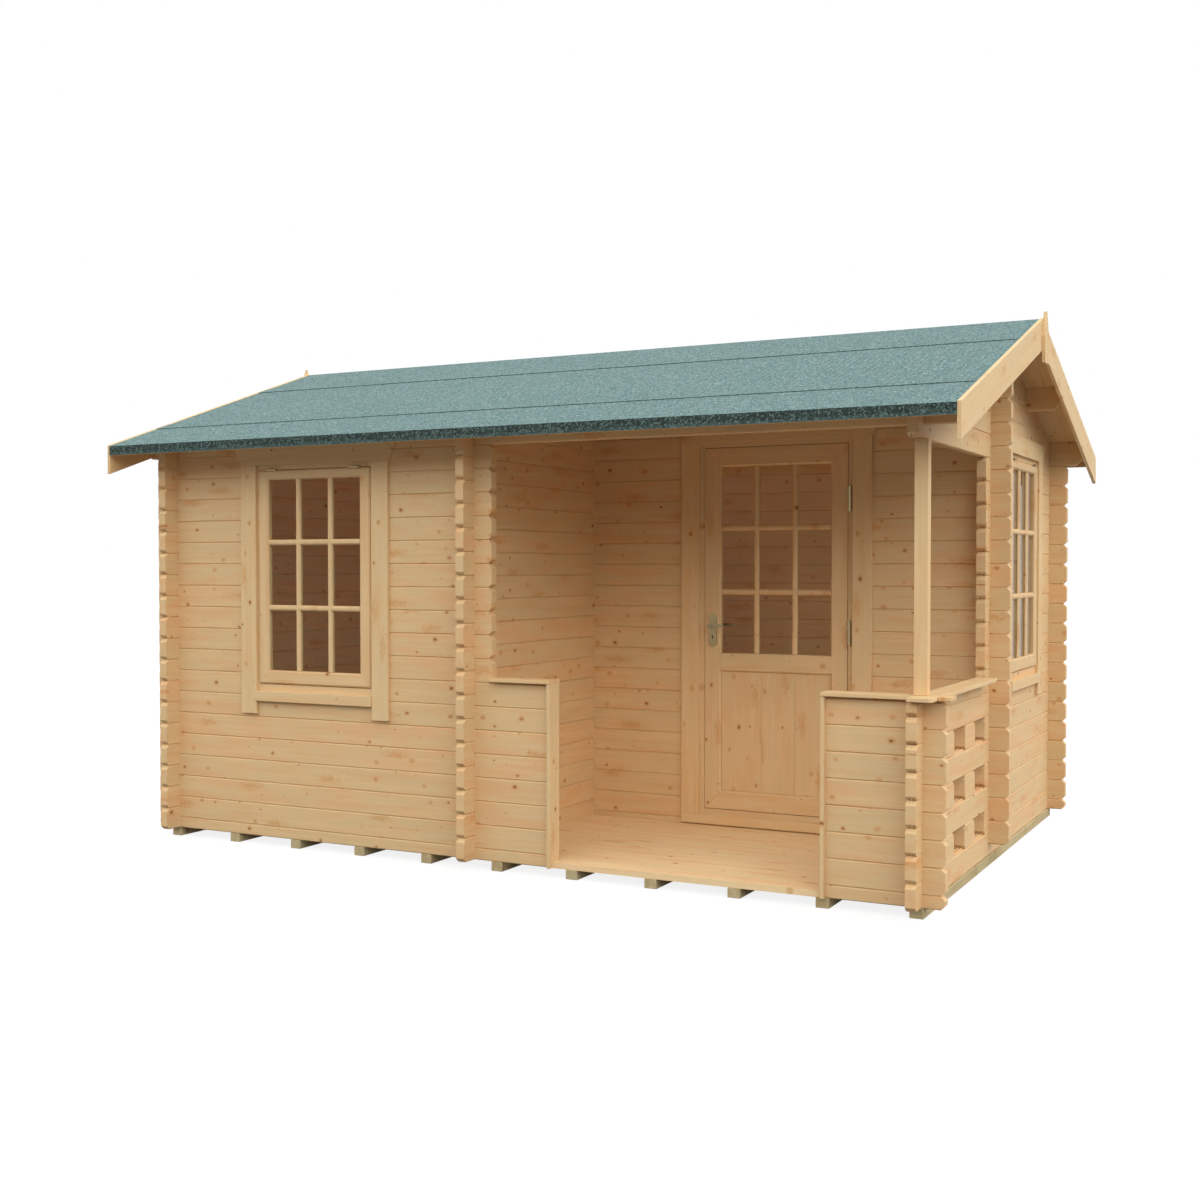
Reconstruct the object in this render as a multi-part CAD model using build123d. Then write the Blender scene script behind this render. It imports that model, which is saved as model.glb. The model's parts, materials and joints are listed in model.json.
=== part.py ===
"""Garden log cabin with a covered corner porch.

X runs along the front, Y from the front to the back and Z up, in millimetres. The origin is
on the ground, under the middle of the cabin.

The walls are stacks of notched logs. Side walls (along Y) start with a whole log, front and
back walls (along X) with half a log, so that the two directions lock together half a course
apart. Every log is one outline in the plane of its wall, with its notches and bevelled ends,
extruded by the log's thickness.
"""

import os
from math import ceil, cos, radians, tan

from build123d import *

os.makedirs("parts", exist_ok=True)

# ---- Logs ----
course = 114.0  # height of one course
wall = 45.0  # thickness of a log
log_end = 97.0  # how far a log runs past the wall that it crosses
end_bevel = 19.0  # 45 degree cut above and below each log end
gap = 0.3  # play between pieces that are stacked, notched or butted together
tongue_height = 8.0
tongue_width = 7.0
tongue_spacing = 15.0

# ---- Plan, measured from the outer faces of the left gable and of the front ----
length = 4105.0
depth = 2835.0
porch_wall_at = 1884.0  # near face of the wall between the store and the porch
porch_depth = 1237.0  # face of the wall behind the porch
entrance_at = 2356.0  # left side of the way into the porch
entrance_width = 1316.0

# ---- Heights, counted in courses above the bearers ----
courses_below_eave = 17  # whole logs of a front wall between its half log and its eave log
parapet_courses = 7
bracket_course = 17  # lowest gable log that runs forward over the porch
open_courses = (1, 3, 5)  # courses of the side parapet with openings
balusters = 2  # blocks between the two log ends in each open course

# ---- Base ----
bearer_width = 60.0
bearer_height = 45.0
bearer_count = 11
floor_thickness = 28.0

# ---- Roof ----
roof_pitch = 18.9
eave_log_height = 121.0  # at the outer face of the wall
gable_overhang = 212.0
eave_overhang = 251.0
deck = 18.0
felt = 3.0
felt_lap = 100.0
felt_step = 9.0  # over which a strip comes down behind the edge of the one below
felt_exposed = 888.0  # of a strip below the one above it
felt_ridge = 515.0  # of the ridge strip down each slope
eave_batten = 18.0
eave_batten_height = 46.0
purlin_height = 114.0
purlin_end_cut = 50.0
bargeboard = 18.0
bargeboard_height = 153.0  # measured plumb
bargeboard_rise = 4.0  # above the felt
finial_width = 90.0
finial_length = 255.0
finial_point = 126.0
finial_rise = 32.0  # of the tip above the bargeboards

# ---- Porch woodwork ----
cap_thickness = 17.0
cap_width = 105.0
side_cap_shift = 38.0  # the side cap sits outside the middle of its wall
cap_overhang = 24.0  # past the log ends of the corner
cap_corner_cut = 12.0  # 45 degree cut off the side cap's outer front corner
side_cap_stop = 45.0  # short of the log ends of the wall behind the porch
end_board = 17.0
end_board_width = 96.0
post_width = 58.0
post_shift = 12.0  # outward from the middle of the gable

# ---- Windows ----
sash_width = 710.0
sash_height = 1106.0
window_at = 965.0  # middle of the front window
side_window_shift = 3.5  # rearward, from the middle of the wall behind the porch
window_course = 6  # lowest log that the front window cuts
frame_jamb = 38.0
frame_head = 43.0
frame_sill = 59.0
sash_stile = 64.0
sash_top_rail = 48.0
sash_bottom_rail = 70.0
sash_thickness = 40.0
sash_proud = 11.0  # of the face of the wall
glass = 4.0
bar_width = 29.0
bar_depth = 14.0
bar_chamfer = 8.0
moulding = 8.0  # splay of the edges of sashes and of the inner edges of the door leaf
panes = 3  # across and up
window_hinge = 62.0
window_hinge_radius = 4.5
hinge_depth = 30.0  # of the leaves in the joints, from the face
window_hinge_spacing = 530.0

# ---- Door ----
door_width = 787.0
door_height = 1920.0
door_at = 2994.0  # middle of the leaf
door_above_base = 120.0  # underside of the leaf above the bearers
door_frame_member = 40.0
door_thickness = 42.0
door_stile = 90.0
door_rail = 98.0
door_mid_rail_at = 735.0  # underside of the middle rail above that of the leaf
door_panel_thickness = 16.0
first_panel_board = 227.0
panel_board = 184.0
threshold_board = 49.0
running_gap = 3.0  # round the sashes and the door leaf
hinge_height = 130.0
hinge_leaf = 2.0
hinge_rest = 6.0  # of a knuckle past its leaf and past the pin
hinge_radius = 8.0
hinge_offset = 12.5  # of the pin from the edge of the leaf
hinge_pin = 4.0
hinge_shares = (0.12, 0.496, 0.853)  # of the leaf's height, to the middle of each hinge
pin_play = 0.05
plate_width = 46.0
plate_height = 176.0
plate_thickness = 5.0
plate_drop = 24.0  # of its middle below the lever
key_drop = 56.0
lever_inset = 45.0
lever_level = 977.0  # above the underside of the leaf
lever_length = 78.0
lever_rise = 4.0  # of the grip's middle
lever_height = 13.0
lever_thickness = 8.0
lever_reach = 50.0  # from the plate to the middle of the grip
spindle = 9.0  # radius
spindle_play = 1.0  # in the leaf
keyhole = 4.5
key_slot = (4.0, 14.0)

# ---- Boards round the openings ----
casing = 100.0
casing_thickness = 18.0
window_reveal = 13.5  # of the frame, between the sash and the casing
head_reveal = 29.0
window_casing_drop = 159.0  # of the side casings below the sash
sill_board_height = 52.0
sill_board_drop = 39.0  # of its top below the sash
sill_board_thickness = 28.0
door_reveal = 31.0
head_casing_height = 97.0
head_casing_splay = 48.0  # its ends lean out

# ---- Worked out ----
x_left, x_right = -length / 2, length / 2
y_front, y_back = -depth / 2, depth / 2
base = bearer_height
half = course / 2
left_line, right_line = x_left + wall / 2, x_right - wall / 2
porch_x_line = x_left + porch_wall_at + wall / 2
front_line, back_line = y_front + wall / 2, y_back - wall / 2
porch_y_line = y_front + porch_depth + wall / 2
log_cut = wall / 2 + gap  # half of a notch's width
slope = tan(radians(roof_pitch))
plumb = 1 / cos(radians(roof_pitch))  # plumb height of a thickness laid on the slope
eave_level = base + half + courses_below_eave * course
parapet_top = base + half + parapet_courses * course
cap_level = parapet_top + tongue_height
roof_end = x_right + gable_overhang - bargeboard - gap
eave_y = y_front - eave_overhang
tip_front, tip_back = y_front - log_end, y_back + log_end
tip_left, tip_right = x_left - log_end, x_right + log_end
porch_tip_front = y_front + porch_depth - log_end
porch_tip_back = y_front + porch_depth + wall + log_end
entrance_left = x_left + entrance_at
entrance_right = entrance_left + entrance_width
window_x = x_left + window_at
side_window_y = (y_front + porch_depth + y_back - wall) / 2 + side_window_shift
side_window_course = window_course + 1
door_x = x_left + door_at
window_opening = sash_width / 2 + running_gap + frame_jamb + gap
window_height = gap + frame_sill + sash_height + 2 * running_gap + frame_head
window_courses = ceil(window_height / course)
door_opening = door_width / 2 + running_gap + door_frame_member + gap
door_lining_top = door_above_base + door_height + running_gap + door_frame_member
door_courses = ceil((door_lining_top - half) / course)


def side_level(number):
    """Underside of a whole log in a side wall."""
    return base + number * course


def front_level(number):
    """Underside of a whole log in a front or back wall."""
    return base + half + number * course


def underside(y):
    """Height of the roof boards' underside."""
    return eave_level + eave_log_height + (depth / 2 - abs(y)) * slope


def deck_top(y):
    """Height of the roof boards' upper face."""
    return underside(y) + deck * plumb


ridge_top = deck_top(0) + 2 * felt * plumb
top_side_course = int((underside(0) - base) // course)
top_porch_course = int((underside(porch_y_line - wall / 2) - base - half) // course)


# ---- Shapes ----
def along_x(outline, y, thickness=wall):
    """Solid from an outline in X and Z, with its middle at y."""
    return extrude(Pos(0, y, 0) * (Plane.XZ * outline), thickness / 2, both=True)


def along_y(outline, x, thickness=wall):
    """Solid from an outline in Y and Z, with its middle at x."""
    return extrude(Pos(x, 0, 0) * (Plane.YZ * outline), thickness / 2, both=True)


def box(x_range, y_range, z_range):
    """Block between two values on each axis."""
    ranges = (x_range, y_range, z_range)
    size = [high - low for low, high in ranges]
    corner = [low for low, high in ranges]
    return Pos(*corner) * Box(*size, align=(Align.MIN, Align.MIN, Align.MIN))


def rectangle(across, up):
    """Rectangle between two values each way."""
    (left, right), (low, high) = across, up
    return Pos((left + right) / 2, (low + high) / 2) * Rectangle(right - left, high - low)


def log_outline(start, end, level, over, under, bevels=(True, True), low=None, high=None):
    """Outline of a log along its wall, with notches over and under the crossing walls.

    A half log is a whole log at its level, cut off at low or high.
    """
    low = (level if low is None else low) + gap / 2
    high = (level + course if high is None else high) - gap / 2
    notch_low = level + course / 4 + gap / 2
    notch_high = level + course * 3 / 4 - gap / 2
    cut_start, cut_end = (end_bevel if bevel else 0.0 for bevel in bevels)
    points = [(start + cut_start, low)]
    for line in sorted(under):
        points += [(line - log_cut, low), (line - log_cut, notch_low)]
        points += [(line + log_cut, notch_low), (line + log_cut, low)]
    points.append((end - cut_end, low))
    if cut_end:
        points += [(end, low + cut_end), (end, high - cut_end)]
    points.append((end - cut_end, high))
    for line in sorted(over, reverse=True):
        points += [(line + log_cut, high), (line + log_cut, notch_high)]
        points += [(line - log_cut, notch_high), (line - log_cut, high)]
    points.append((start + cut_start, high))
    if cut_start:
        points += [(start, high - cut_start), (start, low + cut_start)]
    return Polygon(*points, align=None)


# ---- Room under the roof ----
under_roof = Polygon(
    (eave_y, 0), (-eave_y, 0), (-eave_y, underside(eave_y) - gap), (0, underside(0) - gap),
    (eave_y, underside(eave_y) - gap), align=None,
)
under_roof_space = along_y(under_roof, 0, 2 * roof_end)
purlin_lines = (front_line / 2, 0.0, back_line / 2)


def purlin_bottom(y):
    """Underside of a purlin on a line."""
    return underside(y) - purlin_height


def gable_face(outline, meets_porch_wall):
    """A side wall's log, cut under the roof and round what crosses it there."""
    face = outline & under_roof
    crossings = [(y, purlin_bottom(y) - gap) for y in purlin_lines]
    if meets_porch_wall:
        crossings.append((porch_y_line, front_level(top_porch_course) + course / 4 - gap / 2))
    for y, bottom in crossings:
        face -= rectangle((y - log_cut, y + log_cut), (bottom, ridge_top))
    return face


# ---- Side walls: left gable, porch side wall, right gable ----
def side_log(number, start, end, lines, bevels=(True, True), on_post=False):
    """One log of a side wall; the porch post carries one of them."""
    eave_course = courses_below_eave + 1
    over = [line for line in lines if line == porch_y_line or number < eave_course]
    under = [line for line in lines if line == porch_y_line or number <= eave_course]
    if number == 0:
        under = [line for line in under if line != porch_y_line]
    if on_post:
        under = [line for line in under if line != front_line]
    outline = log_outline(start, end, side_level(number), over, under, bevels)
    if number < eave_course:
        return outline
    return gable_face(outline, porch_y_line in lines)


def full_side_wall(x, end, lines):
    """A side wall without an opening, from the front to a log end."""
    faces = [side_log(number, tip_front, end, lines) for number in range(top_side_course + 1)]
    return [along_y(face, x) for face in faces]


def right_gable():
    """Gable beside the porch.

    Some low logs run forward as the parapet and the top logs run forward to carry the roof. The
    side window cuts those between.
    """
    faces = []
    cut = range(side_window_course, side_window_course + window_courses)
    for number in range(top_side_course + 1):
        low_part = number < parapet_courses and number not in open_courses
        forward = low_part or number >= bracket_course
        start = tip_front if forward else porch_tip_front
        lines = ([front_line] if forward else []) + [porch_y_line]
        on_post = number == bracket_course
        if number in cut:
            near, far = side_window_y - window_opening, side_window_y + window_opening
            faces.append(side_log(number, start, near, lines, (True, False), on_post))
            faces.append(side_log(number, far, tip_back, [back_line], (False, True)))
        else:
            faces.append(side_log(number, start, tip_back, lines + [back_line], on_post=on_post))
    return [along_y(face, right_line) for face in faces]


def balustrade():
    """Short logs and blocks round the parapet's openings, and the half log on top."""
    faces = []
    first_tip = y_front + wall + log_end
    spacing = (porch_tip_front - first_tip) / (2 * balusters + 1)
    for number in open_courses:
        level = side_level(number)
        faces.append(log_outline(tip_front, first_tip, level, [front_line], [front_line]))
        for step in range(balusters):
            start = first_tip + (2 * step + 1) * spacing
            faces.append(log_outline(start, start + spacing, level, (), ()))
    faces.append(
        log_outline(tip_front, porch_tip_front - gap, side_level(parapet_courses), (),
                    [front_line], (True, False), high=parapet_top)
    )
    pieces = [along_y(face, right_line) for face in faces]
    tongue_range = (tip_front + end_bevel, porch_tip_front - gap)
    pieces[-1] += [box(side, tongue_range, tongue_z) for side in tongues(right_line)]
    return pieces


tongue_z = (parapet_top - gap, cap_level - gap)


def tongues(line):
    """Ranges across a log of the two tongues on its top."""
    middles = (line - tongue_spacing / 2, line + tongue_spacing / 2)
    return [(middle - tongue_width / 2, middle + tongue_width / 2) for middle in middles]


# ---- Front, porch back and back walls ----
def front_log(y, number, start, end, lines, bevels=(True, True)):
    """One whole log of a front or back wall."""
    return along_x(log_outline(start, end, front_level(number), lines, lines, bevels), y)


def base_log(y, start, end, lines, bevels=(True, True)):
    """The half log at the foot of a front or back wall."""
    return along_x(log_outline(start, end, base - half, lines, (), bevels, low=base), y)


def roof_member(outline, y, low):
    """A log that carries the roof: bevelled to the slope, and cut back below at both ends."""
    for side in (-1, 1):
        corner = side * (roof_end + gap)
        outline -= Polygon(
            (corner, low - gap), (corner, low + purlin_end_cut),
            (corner - side * (purlin_end_cut + gap), low - gap), align=None,
        )
    return along_x(outline, y) & under_roof_space


def eave_log(y, lines):
    """Top log of the front or back wall, out to the bargeboards at both ends."""
    outline = log_outline(-roof_end, roof_end, eave_level, lines, lines, (False, False),
                          high=underside(y_front + wall))
    return roof_member(outline, y, eave_level)


def front_wall():
    """Store front, which goes on past the porch side wall as the left part of the parapet."""
    lines = [left_line, porch_x_line]
    parapet_end = entrance_left - end_board - gap
    tip = porch_x_line + wall / 2 + log_end
    near, far = window_x - window_opening, window_x + window_opening
    logs = [base_log(front_line, tip_left, parapet_end, lines, (True, False))]
    for number in range(courses_below_eave):
        end, bevel = (parapet_end, False) if number < parapet_courses else (tip, True)
        if number < window_course:
            logs.append(front_log(front_line, number, tip_left, end, lines, (True, bevel)))
        else:
            logs.append(front_log(front_line, number, tip_left, near, lines[:1], (True, False)))
            logs.append(front_log(front_line, number, far, end, lines[1:], (False, bevel)))
        if number == parapet_courses - 1:
            logs[-1] += [box((tip + gap, end), side, tongue_z) for side in tongues(front_line)]
    logs.append(eave_log(front_line, [left_line, porch_x_line, right_line]))
    return logs


def front_parapet():
    """Low wall between the way in and the right corner."""
    start = entrance_right + end_board + gap
    bevels = (False, True)
    logs = [base_log(front_line, start, tip_right, [right_line], bevels)]
    for number in range(parapet_courses):
        logs.append(front_log(front_line, number, start, tip_right, [right_line], bevels))
    for x_range in ((start, right_line - log_cut), (right_line + log_cut, tip_right - end_bevel)):
        logs[-1] += [box(x_range, side, tongue_z) for side in tongues(front_line)]
    return logs


def porch_back_wall():
    """Wall behind the porch, with the doorway; it goes up to the roof."""
    y = porch_y_line
    start = porch_x_line - wall / 2 - log_end
    lines = [porch_x_line, right_line]
    near, far = door_x - door_opening, door_x + door_opening
    between = (porch_x_line + log_cut, right_line - log_cut)
    logs = [base_log(y, *between, (), (False, False))]
    for number in range(top_porch_course):
        if number < door_courses:
            logs.append(front_log(y, number, start, near, lines[:1], (True, False)))
            logs.append(front_log(y, number, far, tip_right, lines[1:], (False, True)))
        else:
            logs.append(front_log(y, number, start, tip_right, lines))
    top_log = log_outline(start, tip_right, front_level(top_porch_course), (), lines,
                          (False, False))
    logs.append(along_x(top_log, y) & under_roof_space)
    return logs


def back_wall():
    """Rear wall, without an opening."""
    lines = [left_line, right_line]
    logs = [base_log(back_line, tip_left, tip_right, lines)]
    for number in range(courses_below_eave):
        logs.append(front_log(back_line, number, tip_left, tip_right, lines))
    logs.append(eave_log(back_line, lines))
    return logs


# ---- Base ----
def bearers():
    """Treated battens under the whole cabin, from the front to the back."""
    pitch = (right_line - left_line) / (bearer_count - 1)
    lines = [left_line + number * pitch for number in range(bearer_count)]
    reach = bearer_width / 2
    return [box((x - reach, x + reach), (y_front, y_back), (0, base - gap / 2)) for x in lines]


floor_z = (base, base + floor_thickness)


def store_floor():
    """Floor of the store, beside the porch and behind it."""
    divide = porch_x_line - wall / 2 - gap
    rear = back_line - log_cut
    beside = box((left_line + log_cut, divide), (front_line + log_cut, rear), floor_z)
    behind = box((divide + gap, right_line - log_cut), (porch_y_line + log_cut, rear), floor_z)
    behind -= box((divide, porch_x_line + log_cut), (y_front, porch_tip_back + gap), floor_z)
    return [beside, behind]


def porch_floor():
    """Floor of the porch, which runs out between the two parapets to the front."""
    sides = (porch_x_line + log_cut, right_line - log_cut)
    floor = box(sides, (front_line + log_cut, porch_y_line - log_cut), floor_z)
    way_in = (entrance_left + gap, entrance_right - gap)
    return [floor + box(way_in, (y_front, front_line + log_cut), floor_z)]


# ---- Windows: drawn at a wall's outer face at y = 0, outward along -Y ----
def frame_of(width, levels, members, y_range):
    """Two uprights with a head between them and, where it has a height, a sill."""
    (low, high), (side, top, bottom) = levels, members
    inner = width / 2 - side
    between = (-inner + gap, inner - gap)
    pieces = [
        box((-width / 2, -inner), y_range, levels),
        box((inner, width / 2), y_range, levels),
        box(between, y_range, (high - top, high)),
    ]
    if bottom:
        pieces.append(box(between, y_range, (low, low + bottom)))
    return pieces


def splay(across, up, y_face, y_deep):
    """Opening between two values each way, widened by the moulding at a face."""
    wide, high = ((low - moulding, top + moulding) for low, top in (across, up))
    sections = ((y_face, rectangle(wide, high)), (y_deep, rectangle(across, up)))
    return loft([Pos(0, y, 0) * (Plane.XZ * section) for y, section in sections])


def mitred_frame(width, levels, members, y_range):
    """Four members mitred at the corners."""
    (low, high), (side, top, bottom) = levels, members
    reach = width / 2
    face = rectangle((-reach, reach), levels)
    face -= rectangle((side - reach, reach - side), (low + bottom, high - top))
    for x in (-1, 1):
        for z, inner in ((low, low + bottom), (high, high - top)):
            face -= Polygon(
                (x * reach, z), (x * (reach - gap), z), (x * (reach - side - gap), inner),
                (x * (reach - side), inner), align=None,
            )
    return along_x(face, sum(y_range) / 2, y_range[1] - y_range[0])


def bevelled_block(width, levels, y_range):
    """Block with the moulding's bevel round its front face."""
    (low, high), (front, back) = levels, y_range
    reach = width / 2
    across, up = (moulding - reach, reach - moulding), (low + moulding, high - moulding)
    bevel = splay(across, up, front + moulding, front)
    return bevel + box((-reach, reach), (front + moulding, back), levels)


def moulded(pieces, across, up, y_range):
    """Pieces round an opening, with its edges splayed at both faces."""
    front, back = y_range
    for face, deep in ((front, front + moulding), (back, back - moulding)):
        pieces = pieces - splay(across, up, face, deep)
    return pieces


def bars_both_sides(width, levels, middle):
    """Glazing bars before and behind the glass, one chamfered grid each."""
    low, high = levels
    pane_width = (width - (panes - 1) * bar_width) / panes
    pane_height = (high - low - (panes - 1) * bar_width) / panes
    face = Sketch()
    for number in range(1, panes):
        x = -width / 2 + number * (pane_width + bar_width) - bar_width / 2
        z = low + number * (pane_height + bar_width) - bar_width / 2
        face += rectangle((x - bar_width / 2, x + bar_width / 2), levels)
        face += rectangle((-width / 2, width / 2), (z - bar_width / 2, z + bar_width / 2))
    grid = along_x(face, middle - glass / 2 - gap - bar_depth / 2, bar_depth)
    front = grid.faces().sort_by(Axis.Y)[0]
    inner = [
        edge for edge in front.edges()
        if abs(edge.center().X) < width / 2 - 1 and low + 1 < edge.center().Z < high - 1
    ]
    grid = chamfer(inner, bar_chamfer)
    return [grid, Pos(0, 2 * middle, 0) * mirror(grid, Plane.XZ)]


def pane(width, levels, middle):
    """One sheet of glass behind the bars."""
    return [box((-width / 2, width / 2), (middle - glass / 2, middle + glass / 2), levels)]


outside = (-casing_thickness - gap, -gap)
inside = (wall + gap, wall + gap + casing_thickness)


def head_casing(half_width, low):
    """Board over an opening, with ends that lean out."""
    high = low + head_casing_height
    board = Polygon(
        (-half_width, low), (half_width, low), (half_width + head_casing_splay, high),
        (-half_width - head_casing_splay, high), align=None,
    )
    return along_x(board, sum(outside) / 2, casing_thickness)


def window():
    """Pieces of one window by name, above the underside of its opening in the logs."""
    sash_low = frame_sill + gap + running_gap
    sash_high = sash_low + sash_height
    frame_width = sash_width + 2 * (running_gap + frame_jamb)
    frame_high = sash_high + running_gap + frame_head
    sash_y = (-sash_proud, sash_thickness - sash_proud)
    middle = sum(sash_y) / 2
    glass_width = sash_width - 2 * (sash_stile + gap)
    glass_z = (sash_low + sash_bottom_rail + gap, sash_high - sash_top_rail - gap)
    sash = mitred_frame(sash_width, (sash_low, sash_high),
                        (sash_stile, sash_top_rail, sash_bottom_rail), sash_y)
    sight = (-glass_width / 2 - gap, glass_width / 2 + gap)
    inner = sash_width / 2 + window_reveal
    outer = inner + casing
    casing_z = (sash_low - window_casing_drop, sash_high + head_reveal - gap)
    sill_high = sash_low - sill_board_drop
    trim = [
        box((-outer, -inner), outside, casing_z),
        box((inner, outer), outside, casing_z),
        head_casing(outer, sash_high + head_reveal),
        box((-inner + gap, inner - gap), (-sill_board_thickness - gap, -gap),
            (sill_high - sill_board_height, sill_high)),
    ]
    lining_z = (sill_high - casing, sash_high + head_reveal + casing)
    trim += frame_of(2 * outer, lining_z, (casing, casing, casing), inside)
    hinges = []
    joint = (sash_high + gap, sash_high + running_gap - gap)
    leaf_y = (-sash_proud - window_hinge_radius, hinge_depth)
    for x in (-window_hinge_spacing / 2, window_hinge_spacing / 2):
        leaves = box((x - window_hinge / 2, x + window_hinge / 2), leaf_y, joint)
        barrel = Rot(0, 90, 0) * Cylinder(window_hinge_radius, window_hinge)
        hinges.append(leaves + Pos(x, -sash_proud - gap - window_hinge_radius, joint[1]) * barrel)
    return {
        "frame": frame_of(frame_width, (gap, frame_high), (frame_jamb, frame_head, frame_sill),
                          (0, wall)),
        "sash": [moulded(sash, sight, (glass_z[0] - gap, glass_z[1] + gap), sash_y)
                 & bevelled_block(sash_width, (sash_low, sash_high), sash_y)],
        "glass": pane(glass_width, glass_z, middle),
        "bars": bars_both_sides(glass_width, glass_z, middle),
        "trim": trim,
        "hinges": hinges,
    }


# ---- Door, drawn like the windows, above the bearers ----
leaf_z = (door_above_base, door_above_base + door_height)
leaf_inner = door_width / 2 - door_stile
lever_x = -door_width / 2 + lever_inset
lever_z = door_above_base + lever_level


def doorway():
    """Lining of the doorway, and the boards round it on both faces of the wall."""
    low, high = leaf_z
    lining_width = door_width + 2 * (running_gap + door_frame_member)
    lining_z = (half + gap, high + running_gap + door_frame_member)
    sill_height = low - running_gap - half - gap
    lining = frame_of(lining_width, lining_z,
                      (door_frame_member, door_frame_member, sill_height), (0, wall))
    inner = door_width / 2 + door_reveal
    outer = inner + casing
    board_high = low - running_gap - door_reveal
    casing_z = (board_high + gap, high + door_reveal - gap)
    trim = [
        box((-outer, -inner), outside, casing_z),
        box((inner, outer), outside, casing_z),
        head_casing(outer, high + door_reveal),
        box((-outer, outer), outside, (board_high - threshold_board, board_high)),
    ]
    trim += frame_of(2 * outer, (floor_z[1] - base + gap, high + door_reveal + casing),
                     (casing, casing, 0), inside)
    return {"door_frame": lining, "door_trim": trim}


def door_leaf():
    """The leaf by pieces: frame, boarded panel, glass and bars."""
    low, high = leaf_z
    mid = low + door_mid_rail_at
    leaf_y = (0, door_thickness)
    middle = door_thickness / 2
    spindle_hole = Pos(lever_x, middle, lever_z) * Rot(90, 0, 0) * Cylinder(
        spindle + spindle_play, 2 * door_thickness)
    sight = (-leaf_inner, leaf_inner)
    between = (-leaf_inner + gap, leaf_inner - gap)
    frame = mitred_frame(door_width, leaf_z, (door_stile, door_rail, door_rail), leaf_y)
    frame = [frame - spindle_hole, box(between, leaf_y, (mid, mid + door_rail))]
    for light in ((low + door_rail, mid), (mid + door_rail, high - door_rail)):
        frame = [moulded(member, sight, light, leaf_y) for member in frame]
    panel_y = (middle - door_panel_thickness / 2, middle + door_panel_thickness / 2)
    seams = [between[0] + first_panel_board, between[0] + first_panel_board + panel_board]
    panel = []
    for start, end in zip([between[0], *seams], [*seams, between[1]]):
        panel.append(box((start + gap / 2, end - gap / 2), panel_y,
                         (low + door_rail + gap, mid - gap)))
    glass_z = (mid + door_rail + gap, high - door_rail - gap)
    glass_width = between[1] - between[0]
    return {
        "door_leaf": frame,
        "door_panel": panel,
        "door_glass": pane(glass_width, glass_z, middle),
        "door_bars": bars_both_sides(glass_width, glass_z, middle),
    }


def door_furniture():
    """Long plates on both faces of the leaf, and the two levers on their spindle."""
    face = Pos(lever_x, lever_z - plate_drop) * SlotOverall(plate_height, plate_width, rotation=90)
    face -= Pos(lever_x, lever_z) * Circle(spindle + pin_play)
    face -= Pos(lever_x, lever_z - key_drop) * Circle(keyhole)
    face -= Pos(lever_x, lever_z - key_drop - key_slot[1] / 2) * Rectangle(*key_slot)
    reach = gap + plate_thickness / 2
    plates = [along_x(face, y, plate_thickness) for y in (-reach, door_thickness + reach)]
    stand_off = gap + plate_thickness + lever_reach
    levers = Pos(lever_x, door_thickness / 2, lever_z) * Rot(90, 0, 0) * Cylinder(
        spindle, door_thickness + 2 * stand_off)
    arch = ThreePointArc((0, 0), (lever_length / 2, lever_rise), (lever_length, 0))
    grip = Pos(lever_x, lever_z) * SlotArc(arch, lever_height)
    for y in (-stand_off, door_thickness + stand_off):
        levers += along_x(grip, y, lever_thickness)
    return {"door_plates": plates, "door_levers": [levers]}


def door_hinges():
    """Lift-off hinges: the lower half and its pin on the lining, the upper half on the leaf."""
    edge = door_width / 2
    x, y = edge + hinge_offset, -gap - hinge_radius
    tab_y = (-gap - hinge_leaf, -gap)
    leaf_y = (-gap - hinge_leaf, hinge_depth)
    knuckle = hinge_height / 2
    on_leaf = edge + gap
    on_lining = edge + running_gap - gap - hinge_leaf
    lower, upper = [], []
    for share in hinge_shares:
        middle = door_above_base + share * door_height
        low_z = (middle - knuckle + hinge_rest, middle - hinge_rest)
        high_z = (middle + hinge_rest, middle + knuckle - hinge_rest)
        pin_height = knuckle - 2 * hinge_rest
        half_below = Pos(x, y, middle - knuckle / 2) * Cylinder(hinge_radius, knuckle)
        half_below += box((on_lining, x), tab_y, low_z)
        half_below += box((on_lining, on_lining + hinge_leaf), leaf_y, low_z)
        half_below += Pos(x, y, middle + pin_height / 2) * Cylinder(hinge_pin, pin_height)
        half_above = Pos(x, y, middle + gap + knuckle / 2) * Cylinder(hinge_radius, knuckle)
        half_above += box((on_leaf, x), tab_y, high_z)
        half_above += box((on_leaf, on_leaf + hinge_leaf), leaf_y, high_z)
        bore = pin_height + hinge_rest / 2
        half_above -= Pos(x, y, middle + bore / 2) * Cylinder(hinge_pin + pin_play, bore)
        lower.append(half_below)
        upper.append(half_above)
    return {"door_frame_hinges": lower, "door_leaf_hinges": upper}


# ---- Porch woodwork ----
def parapet_caps():
    """Boards on the low walls, lying on the tongues of their top logs."""
    levels = (cap_level, cap_level + cap_thickness)
    y_range = (front_line - cap_width / 2, front_line + cap_width / 2)
    side_left = right_line + side_cap_shift - cap_width / 2
    side_right = side_left + cap_width
    corner = tip_front - cap_overhang
    left_start = porch_x_line + wall / 2 + log_end + gap
    side_cap = rectangle((side_left, side_right), (corner, porch_tip_front - side_cap_stop))
    side_cap -= Polygon(
        (side_right - cap_corner_cut, corner), (side_right, corner),
        (side_right, corner + cap_corner_cut), align=None,
    )
    return [
        box((left_start, entrance_left), y_range, levels),
        box((entrance_right, side_left - gap), y_range, levels),
        box((side_right + gap, tip_right + cap_overhang), y_range, levels),
        extrude(Pos(0, 0, cap_level) * side_cap, cap_thickness),
    ]


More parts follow.
